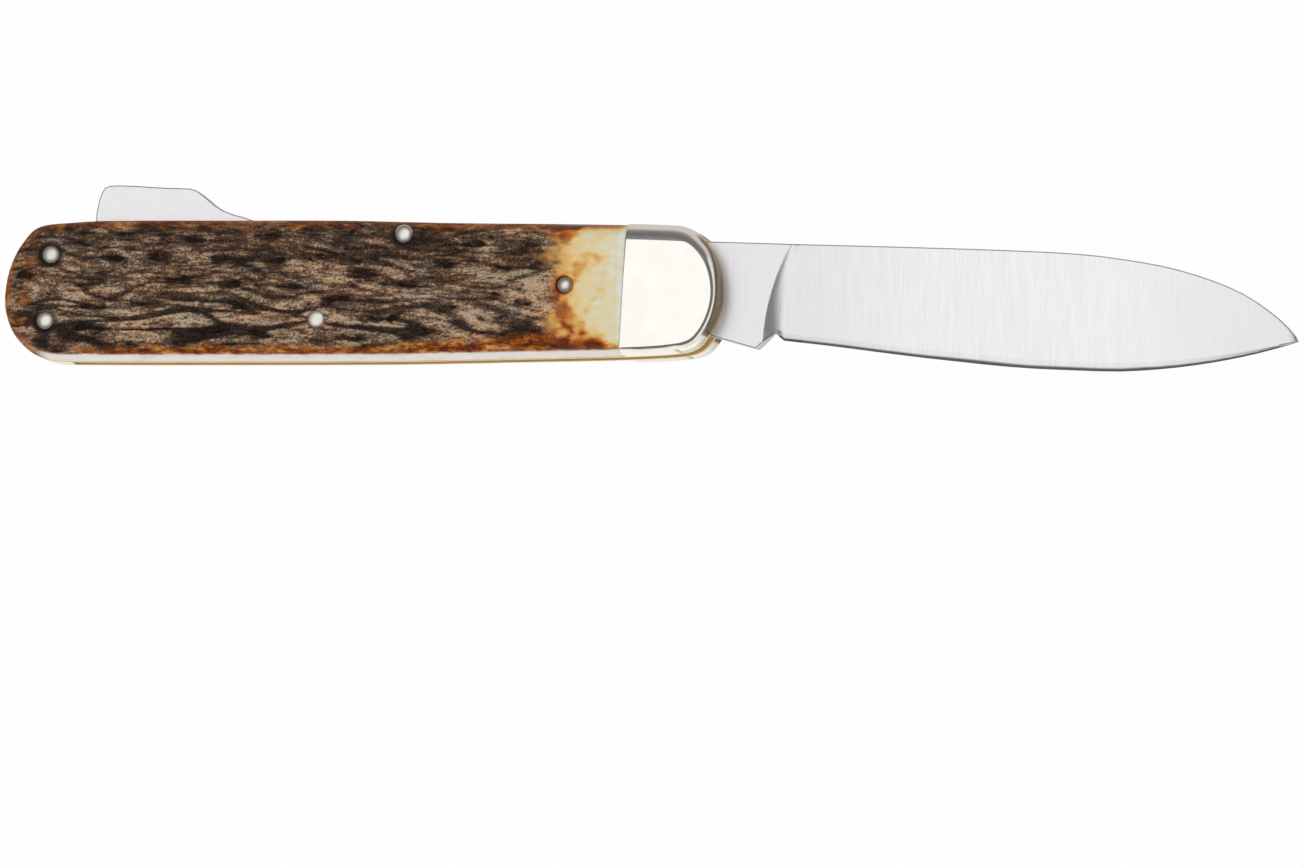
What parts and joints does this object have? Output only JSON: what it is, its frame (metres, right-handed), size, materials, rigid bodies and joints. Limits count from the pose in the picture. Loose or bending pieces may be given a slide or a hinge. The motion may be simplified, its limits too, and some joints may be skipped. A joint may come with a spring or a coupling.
{
  "type": "folding hunting knife",
  "caption": "Folding hunting knife, open: broad drop-point blade, stag handle with polished front bolsters, and a back lock worked by a lever tab near the butt.",
  "frame": {"origin": "on the blade pivot's axis, on the flat outer face of the far bolster, which the knife lies on", "axes": "+X from the pivot to the blade's tip, +Y to the handle's back and the lever tab, +Z through the thickness towards the near side"},
  "size_m": [0.1975, 0.0282, 0.0151],
  "materials": {
    "blade_steel": "satin, brushed across the blade",
    "bar_steel": "fine brushed",
    "spring_steel": "tempered",
    "liner_brass": "polished edges",
    "nickel_silver": "polished nickel silver",
    "stag": "natural antler bark, sawn and polished edges"
  },
  "bodies": {
    "handle": {"near_liner": "liner_brass", "far_liner": "liner_brass", "near_bolster": "nickel_silver", "far_bolster": "nickel_silver", "near_scale": "stag", "far_scale": "stag", "blade_pivot_pin": "bar_steel", "lock_bar_pin": "nickel_silver", "butt_spacer": "bar_steel", "butt_pin_upper": "nickel_silver", "butt_pin_lower": "nickel_silver", "near_scale_pin_front": "nickel_silver", "near_scale_pin_rear": "nickel_silver", "far_scale_pin_front": "nickel_silver", "far_scale_pin_rear": "nickel_silver", "lever_spring": "spring_steel"},
    "blade": {"blade": "blade_steel"},
    "lock_bar": {"lock_bar": "bar_steel"}
  },
  "joints": [
    {"name": "blade_fold", "type": "hinge", "parent": "handle", "child": "blade", "pos_m": [0, 0, 0], "axis": [0, 0, -1], "range_deg": [0, 173]},
    {"name": "lock_lever", "type": "hinge", "parent": "handle", "child": "lock_bar", "pos_m": [-0.0421, 0.00822, 0], "axis": [0, 0, 1], "range_deg": [-1.78, 0.6], "stiffness_Nm_per_rad": 0.5, "springref_deg": -17.19, "deforming": ["lever_spring"]}
  ]
}
